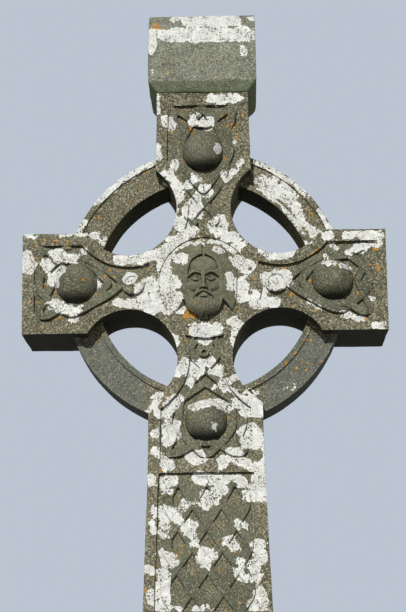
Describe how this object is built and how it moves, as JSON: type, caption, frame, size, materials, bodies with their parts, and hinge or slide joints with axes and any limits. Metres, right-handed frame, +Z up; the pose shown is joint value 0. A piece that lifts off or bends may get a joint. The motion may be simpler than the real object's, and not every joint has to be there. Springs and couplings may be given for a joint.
{
  "type": "celtic cross gravestone",
  "caption": "Ringed stone cross grave marker with a carved front, domed bosses, a central relief head, a splayed capstone and a tapered plinth.",
  "frame": {"origin": "middle of the plinth's underside, at ground level", "axes": "+X along the arms to the viewer's right, -Y to the carved front, +Z up"},
  "size_m": [1.04, 0.64, 2.733],
  "materials": {
    "cross_stone": "weathered carved limestone with pale crustose lichen and small orange spots",
    "cap_stone": "weathered dressed limestone with a pale lichen crust near the eaves and roof",
    "plinth_stone": "weathered dressed limestone, plainer, with scattered lichen"
  },
  "bodies": {
    "root": {"cross": "cross_stone", "capstone": "cap_stone", "plinth": "plinth_stone"}
  },
  "joints": []
}
